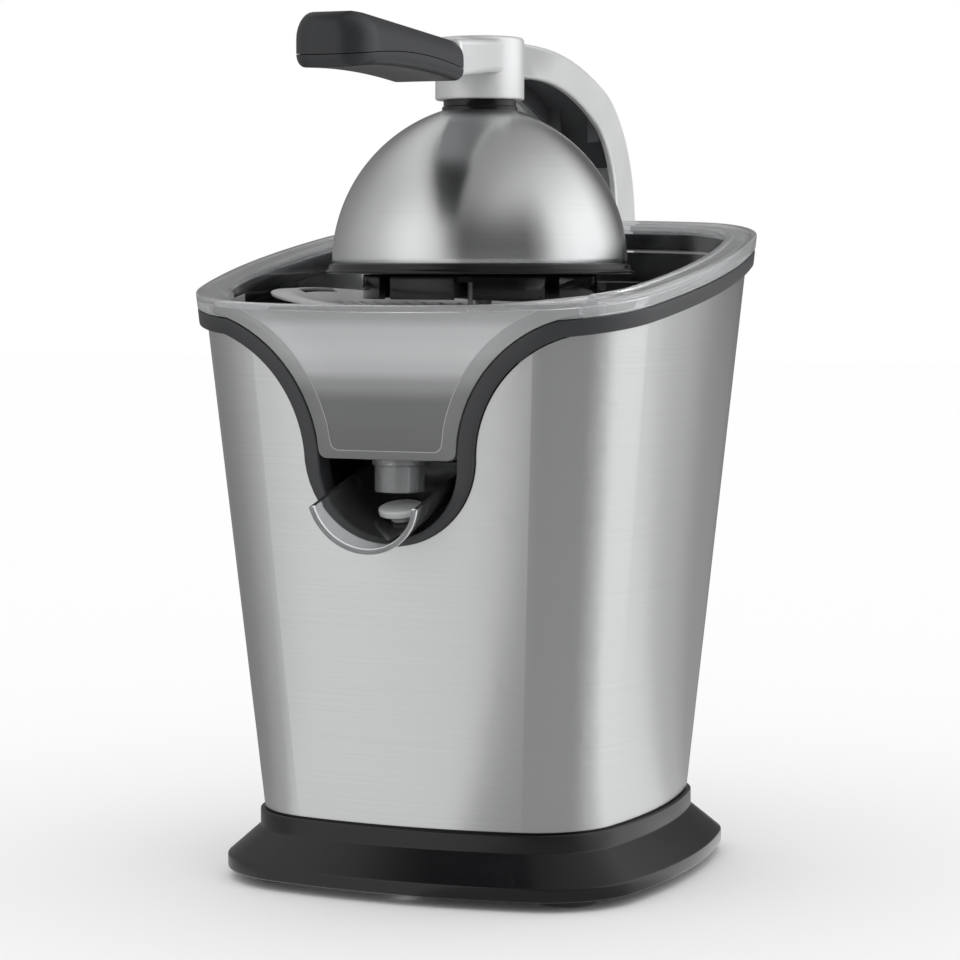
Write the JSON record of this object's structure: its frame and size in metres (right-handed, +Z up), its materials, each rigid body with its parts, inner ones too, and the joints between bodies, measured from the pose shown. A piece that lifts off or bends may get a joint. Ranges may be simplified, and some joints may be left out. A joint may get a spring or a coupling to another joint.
{
  "type": "electric citrus juicer",
  "caption": "Free-standing electric citrus juicer: tapered steel body, clear bowl with drip-stop spout, ribbed reamer and a hinged press arm with a steel dome",
  "frame": {"origin": "on the bench, under the reamer axis, which is the middle of the overall box", "axes": "+Z up, -Y toward the spout and the grip, X across the body"},
  "size_m": [0.2068, 0.296, 0.3365],
  "materials": {
    "body_steel": "horizontally brushed",
    "dome_steel": "spun and brushed round its axis",
    "strainer_steel": "pressed plate",
    "fastener_steel": "plated",
    "shaft_steel": "turned",
    "cast_silver": "satin cast",
    "black_plastic": "satin moulded",
    "inner_plastic": "moulded",
    "clear_plastic": "clear, lightly smoked",
    "gear_plastic": "natural nylon",
    "bush_bronze": "sintered",
    "winding": "varnished copper wire on laminations",
    "motor_case": "zinc plated can",
    "rubber": "matt",
    "silicone": "grey, matt"
  },
  "bodies": {
    "frame": {"base_plinth": "black_plastic", "base_plate": "inner_plastic", "base_screws": "fastener_steel", "rubber_feet": "rubber", "body_shell": "body_steel", "inner_housing": "inner_plastic", "bowl_deck": "inner_plastic", "top_trim": "black_plastic", "spout_recess": "black_plastic", "juice_bowl": "clear_plastic", "bowl_basin": "clear_plastic", "bowl_chute": "clear_plastic", "strainer": "strainer_steel", "gearbox_case": "inner_plastic", "gearbox_floor": "inner_plastic", "gearbox_screws": "fastener_steel", "idler_axle": "shaft_steel", "spindle_bush": "bush_bronze", "spindle_seal": "rubber", "motor_frame": "motor_case", "motor_stator": "winding", "start_switch": "inner_plastic", "cord_inlet": "rubber", "hinge_bracket": "black_plastic", "bracket_screws": "fastener_steel", "hinge_bushes": "bush_bronze"},
    "press_lever": {"lever_arm": "cast_silver", "arm_liner": "black_plastic", "hinge_pin": "shaft_steel", "hub_cap": "black_plastic", "grip_upper": "black_plastic", "grip_lower": "black_plastic", "grip_screws": "fastener_steel", "press_dome": "dome_steel", "press_cup": "black_plastic", "dome_collar": "black_plastic", "dome_stud": "shaft_steel"},
    "output_drive": {"drive_gear": "gear_plastic", "spindle_spring": "shaft_steel"},
    "reamer": {"drive_spindle": "shaft_steel", "reamer_cone": "black_plastic"},
    "idler": {"idler_gear": "gear_plastic"},
    "motor": {"motor_rotor": "shaft_steel"},
    "switch_button": {"switch_plunger": "gear_plastic"},
    "spout": {"spout_trough": "clear_plastic", "drip_plug": "silicone"}
  },
  "joints": [
    {"name": "lever_hinge", "type": "hinge", "parent": "frame", "child": "press_lever", "pos_m": [0, 0.135, 0.24], "axis": [-1, 0, 0], "range_deg": [0, 75]},
    {"name": "drive_spin", "type": "hinge", "parent": "frame", "child": "output_drive", "pos_m": [0, 0, 0.15], "axis": [0, 0, 1], "continuous": true},
    {"name": "spindle_press", "type": "slide", "parent": "output_drive", "child": "reamer", "axis": [0, 0, -1], "range_m": [0, 0.003], "stiffness_N_per_m": 1500, "springref_m": -0.003, "deforming": ["spindle_spring"]},
    {"name": "idler_spin", "type": "hinge", "parent": "frame", "child": "idler", "pos_m": [0, 0.035, 0.15], "axis": [0, 0, 1], "continuous": true},
    {"name": "motor_spin", "type": "hinge", "parent": "frame", "child": "motor", "pos_m": [0.02917, 0.0238, 0.15], "axis": [0, 0, 1], "continuous": true},
    {"name": "switch_press", "type": "slide", "parent": "frame", "child": "switch_button", "axis": [0, 0, -1], "range_m": [0, 0.003]},
    {"name": "spout_tilt", "type": "hinge", "parent": "frame", "child": "spout", "pos_m": [0, -0.06, 0.16], "axis": [-1, 0, 0], "range_deg": [0, 14]}
  ],
  "couplings": [
    {"joint": "idler_spin", "follows": "drive_spin", "ratio": -3.6667},
    {"joint": "motor_spin", "follows": "drive_spin", "ratio": 14.667},
    {"joint": "switch_press", "follows": "spindle_press", "ratio": 1}
  ]
}
